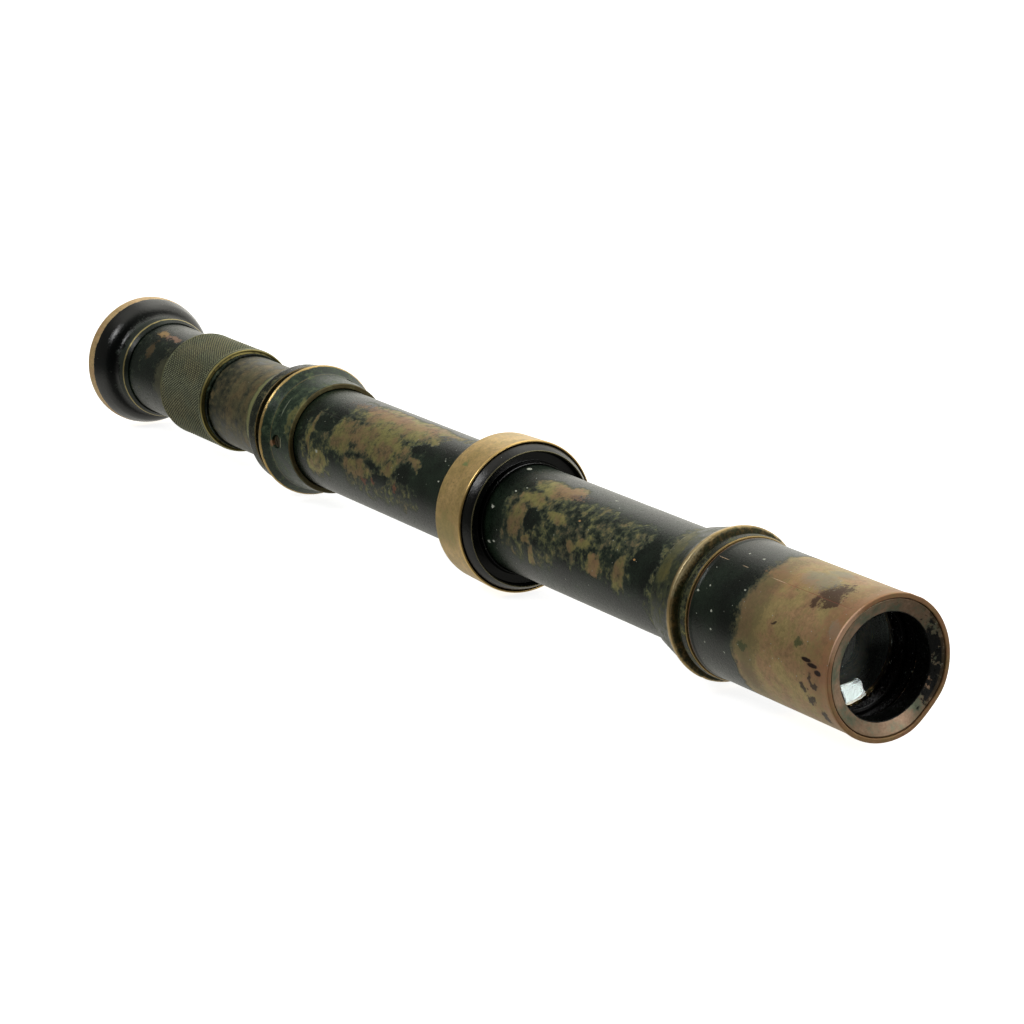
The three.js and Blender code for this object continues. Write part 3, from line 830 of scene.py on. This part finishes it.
def knurl_pitch(rows):
    """Length of one diamond along the axis, in mm."""
    crown = max(radius for _, radius in rows)
    return 2 * math.pi * crown / KNURL_COUNT / math.tan(math.radians(KNURL_HELIX))


def knurling(rows, first, last):
    """Diamonds cut between two stations: two sets of crossing grooves, and worn tips."""
    pitch = knurl_pitch(rows)

    def triangle(t):
        return np.abs(2 * (t - np.floor(t)) - 1)

    def relief(s, a, r):
        around, along = (a + 180) / 360 * KNURL_COUNT, (s - first) / pitch
        height = np.minimum(triangle(around + along), triangle(around - along))
        height = np.minimum(height, 0.72) / 0.72
        fade = np.clip((s - first) / 0.5, 0, 1) * np.clip((last - s) / 0.5, 0, 1)
        return np.where(r > KNURL_WALL, KNURL_DEPTH * (1 - height) * fade, 0)
    return relief


# ---------------------------------------------------------------- pieces

def remake(node, finish, edge=0.15, segments=INNER_SEGMENTS, relief=None, row_step=ROW_STEP,
           cutters=()):
    """Makes a turned CAD node again with round walls and broken edges, less its cutters."""
    name = node + "_detailed"
    rows, closed = shaped(cad_outline(node), edge, row_step)
    piece = add_piece(name, turned_mesh(name, rows, closed, segments, relief))
    if cutters:
        carve(piece, cutters)
    adopt(piece, node, FINISH[finish])


def knurled_ring():
    """The focusing ring, with rows and columns laid out so that each diamond has its own faces."""
    rows, closed = shaped(cad_outline("focusing_ring"), 0.12)
    crown = max(radius for _, radius in rows)
    wall = [s for s, r in rows if r > crown - 0.01]
    first, last = min(wall) + 0.1, max(wall) - 0.1
    pitch = knurl_pitch(rows)
    count = math.floor((last - first) / pitch)
    first += (last - first - count * pitch) / 2
    grid = [(first + pitch * k / KNURL_SAMPLES, crown) for k in range(count * KNURL_SAMPLES + 1)]
    kept = [(s, r) for s, r in rows if not (r > crown - 0.01 and first <= s <= grid[-1][0])]
    turning = next(i for i, (s, r) in enumerate(kept)
                   if kept[i - 1][0] < first and s > grid[-1][0] or
                   kept[i - 1][0] > grid[-1][0] and s < first)
    if kept[turning - 1][0] > first:
        grid.reverse()
    whole = kept[:turning] + grid + kept[turning:]

    def split(i, j):
        if turning <= i < turning + len(grid) - 1:
            return (i - turning + j) % 2 == 0
        return None
    mesh = turned_mesh("focusing_ring_knurled", whole, closed, KNURL_COUNT * KNURL_SAMPLES,
                       knurling(whole, min(grid)[0], max(grid)[0]), split)
    for polygon in mesh.polygons:
        polygon.use_smooth = False
    adopt(add_piece("focusing_ring_knurled", mesh), "focusing_ring", FINISH["knurl"])


def slotted_screw(node, station, angle, shank, head, bottom, seat, top):
    """A cheese-head screw: radii of shank and head, and its heights above the telescope's axis."""
    broken, crown = 0.2, top + 0.04
    profile = [(0, bottom), (shank - broken, bottom), (shank, bottom + broken),
               (shank, seat - 0.05), (shank, seat), (head - 0.05, seat), (head, seat + 0.05),
               (head, top - broken), (head - broken / 3, top - broken / 3), (head - broken, top),
               (head * 0.6, top + 0.02), (0, crown)]
    piece = add_piece(node + "_detailed",
                      radial_mesh(node + "_detailed", profile, station, angle, 64))
    height = top - seat
    deep = 0.45 * height if height > 1 else 0.7 * height
    place = radial_place(station, angle) @ Matrix.Translation((0, 0, crown * MM))
    place = place @ Matrix.Rotation(math.radians(35 + angle % 70), 4, "Z")
    carve(piece, [box_mesh("slot", (SAW_CUT, head * 4, 2 * deep), place)])
    adopt(piece, node, FINISH["screw"])


def outer_pieces():
    """The turned pieces that show."""
    knocks = [FRONT_DENT, (7, 58, 0.12, 2.5, 4), (2, 115, 0.25, 3, 8), (31, 140, 0.15, 6, 9)]
    remake("objective_barrel", "barrel", 0.35, OUTER_SEGMENTS,
           dings(knocks, outside_only(24, uneven(1, 0.02))))
    remake("objective_bezel", "bezel", 0.3, OUTER_SEGMENTS,
           outside_only(20, dings([FRONT_DENT])))
    remake("front_collar", "front_collar", 0.5, OUTER_SEGMENTS,
           outside_only(22, dings([(84.8, 44, 0.25, 1.2, 1.2), (85, -62, 0.15, 2, 3)], uneven(2))))
    remake("front_collar_ring", "front_ring", 0.2, OUTER_SEGMENTS)
    remake("main_tube", "tube", 0.15, OUTER_SEGMENTS,
           outside_only(20, dings([(201, 56, 0.1, 2, 3), (290, -100, 0.12, 9, 12),
                                   (152, 120, 0.1, 7, 10)], uneven(3, 0.02))), row_step=4)
    remake("middle_collar", "band", 0.3, OUTER_SEGMENTS, outside_only(25, uneven(4)))
    remake("middle_collar_lock_ring", "gloss_black", 0.25, OUTER_SEGMENTS)
    remake("flange_back_ring", "back_ring", 0.3, OUTER_SEGMENTS)
    remake("flange_spacer", "matt_black", 0.15, OUTER_SEGMENTS)
    remake("focusing_ring_washer", "washer", 0.15, OUTER_SEGMENTS)
    remake("eyecup_seat_ring", "seat_ring", 0.15, OUTER_SEGMENTS)
    remake("eyecup", "eyecup", 0.35, OUTER_SEGMENTS,
           outside_only(20, dings([(544, 118, 0.2, 1.5, 3), (543, -71, 0.15, 1.5, 2)], uneven(5))))
    knurled_ring()


def carved_pieces():
    """The pieces with holes, and the screws in them."""
    cutters = []
    for angle in FLANGE_SCREWS:
        wide = [(0, 22.6), (2.9, 22.6), (2.9, 24.3), (4.6, 26), (4.6, 28), (0, 28)]
        deep = [(0, 20.3), (1.9, 20.3), (1.9, 23), (0, 23)]
        for profile in (wide, deep):
            cutters.append(radial_mesh("screw_hole", profile, FLANGE_SCREW_STATION, angle))
    remake("mounting_flange", "flange", 0.35, OUTER_SEGMENTS,
           outside_only(23, dings([(380.6, 15, 0.25, 1, 1.2)], uneven(6))), cutters=cutters)
    for i, angle in enumerate(FLANGE_SCREWS):
        slotted_screw(f"flange_set_screw_{i + 1}", FLANGE_SCREW_STATION, angle,
                      1.6, 2.4, 21.1, 22.9, 23.45)

    hole = [(0, 15), (1.6, 15), (1.6, 19), (0, 19)]
    remake("eyepiece_housing", "housing", 0.3, OUTER_SEGMENTS, outside_only(19, uneven(7)),
           cutters=[radial_mesh("guide_hole", hole, GUIDE_SCREW_STATION, 90)])
    slotted_screw("focusing_guide_screw", GUIDE_SCREW_STATION, 90, 1.3, 1.8, 16.2, 17.7, 20.15)
    remake("eye_tube", "neck", 0.2, OUTER_SEGMENTS, outside_only(20, uneven(8)),
           cutters=[slot_mesh(GUIDE_SCREW_STATION, *GUIDE_SLOT, 16.5, 23)])


def inner_pieces():
    """The pieces inside, with the optics."""
    for node in ("erector_support_front", "erector_support_rear", "erector_tube",
                 "erector_front_retainer", "erector_rear_retainer", "erector_stop",
                 "barrel_baffle", "tube_baffle_front", "tube_baffle_rear", "graticule_cell",
                 "graticule_retainer", "eyepiece_spacer"):
        remake(node, "matt_black", row_step=5)
    for node in ("objective_cell", "eye_lens_cell", "eye_lens_retainer"):
        remake(node, "satin_black", 0.2, 2 * INNER_SEGMENTS)
    remake("objective_spacer", "inner_brass")
    remake("focusing_ring_nut", "inner_brass")
    for node in ("objective_crown_lens", "objective_flint_lens", "field_lens", "eye_lens",
                 "graticule_glass", "erector_front_lens", "erector_rear_lens"):
        remake(node, "glass", 0.25, 2 * INNER_SEGMENTS)
    notches = []
    for side in (1, -1):
        place = Matrix.Translation((FRONT - NOTCH_STATION * MM, side * NOTCH_RADIUS * MM, 0))
        notches.append(box_mesh("notch", NOTCH, place))
    remake("objective_lock_ring", "satin_black", 0.35, OUTER_SEGMENTS, cutters=notches)


finishes()
outer_pieces()
carved_pieces()
inner_pieces()


# ---------------------------------------------------------------- studio

# Brightness of the studio on the camera's side, behind, below and overhead. AHEAD_LIGHT is the
# share of it that is left in front of the objective. Each TURN says between which values of Y, Z,
# Z and X of a direction the light changes.
FRONT_LIGHT = 0.125
BACK_LIGHT = 1.3
FLOOR_LIGHT = 0.6
OVERHEAD_LIGHT = 0.6
AHEAD_LIGHT = 0.2
SIDE_TURN = (0.0, 0.44)
BELOW_TURN = (-0.15, -0.5)
OVERHEAD_TURN = (0.6, 0.95)
AHEAD_TURN = (0.05, 0.4)
STUDIO_TINT = (1, 0.98, 0.9, 1)

FLOOR_REACH = 4           # metres each way
CARD_DISTANCE = 1.5       # metres from the glass to the corners of the lamp card, along these
CARD_CORNERS = [(0.753, 0.598, 0.274), (0.932, 0.178, 0.315), (0.712, 0.095, 0.696),
                (0.543, 0.509, 0.668)]

LENS = 114.2578           # mm, on a sensor 36 mm wide
CAMERA_PLACE = (1.0482, -0.6247, 0.3176)
CAMERA_RIGHT = (0.5284, 0.8490, 0)
CAMERA_UP = (-0.2205, 0.1372, 0.9657)


def world_light():
    """White to the camera. To the object: a bright studio behind it and above, and a dimmer one on
    the camera's side."""
    world = bpy.data.worlds.new("studio")
    bpy.context.scene.world = world
    g = Graph(world)
    g.tree.nodes.clear()
    where = g.node("ShaderNodeTexCoord").outputs["Generated"]
    x, y, z = g.node("ShaderNodeSeparateXYZ", Vector=where).outputs
    sides = g.step(y, *SIDE_TURN, FRONT_LIGHT, BACK_LIGHT)
    below = g.step(z, *BELOW_TURN, 0, 1)
    total = g.math("ADD", g.math("MULTIPLY", sides, g.math("SUBTRACT", 1, below)),
                   g.math("MULTIPLY", below, FLOOR_LIGHT))
    total = g.math("ADD", total, g.step(z, *OVERHEAD_TURN, 0, OVERHEAD_LIGHT))
    total = g.math("MULTIPLY", total, g.step(x, *AHEAD_TURN, 1, AHEAD_LIGHT))
    studio = g.node("ShaderNodeBackground", Color=STUDIO_TINT, Strength=total)
    plain = g.node("ShaderNodeBackground", Color=(1, 1, 1, 1))
    g.mixed_shader(g.node("ShaderNodeLightPath").outputs["Is Camera Ray"], studio, plain,
                   g.node("ShaderNodeOutputWorld"))


def soft_lamp(name, direction, distance, size, watts, target=(0, 0, 0)):
    """A square lamp in this direction from its target, facing it."""
    light = bpy.data.lights.new(name, "AREA")
    light.shape = "SQUARE"
    light.size = size
    light.energy = watts
    lamp = bpy.data.objects.new(name, light)
    bpy.context.scene.collection.objects.link(lamp)
    lamp.location = Vector(target) + Vector(direction).normalized() * distance
    ahead = Vector(target) - lamp.location
    lamp.rotation_euler = ahead.to_track_quat("-Z", "Y").to_euler()


def emissive(name, strength, diffuse=(0, 0, 0, 1)):
    material = bpy.data.materials.new(name)
    material.use_nodes = True
    shader = material.node_tree.nodes["Principled BSDF"]
    shader.inputs["Base Color"].default_value = diffuse
    shader.inputs["Emission Color"].default_value = (1, 1, 1, 1)
    shader.inputs["Emission Strength"].default_value = strength
    shader.inputs["Roughness"].default_value = 1
    shader.inputs["Specular IOR Level"].default_value = 0
    return material


def floor():
    """A pale floor that the camera sees from above and looks through from below."""
    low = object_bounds()[0][2]
    far = FLOOR_REACH
    mesh = bpy.data.meshes.new("floor")
    mesh.from_pydata([(-far, -far, low), (far, -far, low), (far, far, low), (-far, far, low)], [],
                     [(0, 1, 2, 3)])
    plane = add_piece("floor", mesh)
    pale = emissive("pale_floor", 0.86, (0.8, 0.8, 0.8, 1))
    mesh.materials.append(pale)
    g = Graph(pale)
    below = g.node("ShaderNodeNewGeometry").outputs["Backfacing"]
    g.mixed_shader(below, g.tree.nodes["Principled BSDF"], g.node("ShaderNodeBsdfTransparent"),
                   g.tree.nodes["Material Output"])
    for way in ("diffuse", "glossy", "transmission", "shadow", "volume_scatter"):
        setattr(plane, f"visible_{way}", False)
    plane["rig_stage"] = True


def lens_card():
    """A lamp card ahead of the telescope and above it. Only light that left the glass reaches it,
    so it shows as one bright reflection off the back of the crown lens."""
    middle = Vector((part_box("objective_crown_lens")[0].x, 0, 0))
    mesh = bpy.data.meshes.new("lamp_card")
    mesh.from_pydata([middle + CARD_DISTANCE * Vector(way) for way in CARD_CORNERS], [],
                     [(0, 1, 2, 3)])
    card = add_piece("lamp_card", mesh)
    mesh.materials.append(emissive("lamp_glow", 90))
    for way in ("camera", "diffuse", "glossy", "shadow", "volume_scatter"):
        setattr(card, f"visible_{way}", False)
    card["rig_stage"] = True


def camera():
    """A long lens ahead of the telescope, to its side and a little above."""
    data = bpy.data.cameras.new("camera")
    data.sensor_width = 36
    data.lens = LENS
    obj = bpy.data.objects.new("camera", data)
    right = Vector(CAMERA_RIGHT).normalized()
    back = right.cross(Vector(CAMERA_UP)).normalized()
    up = back.cross(right)
    turn = Matrix((right, up, back)).transposed().to_4x4()
    obj.matrix_world = Matrix.Translation(CAMERA_PLACE) @ turn
    bpy.context.scene.collection.objects.link(obj)
    bpy.context.scene.camera = obj


world_light()
soft_lamp("key", (-0.1, -0.7, 0.68), 1.2, 0.34, 3.0)
soft_lamp("ahead", (0.8, 0.37, 0.45), 1.5, 0.6, 4.5, (FRONT, 0, 0))
floor()
lens_card()
camera()
view = bpy.context.scene.view_settings
view.view_transform = "Standard"
view.look = "None"
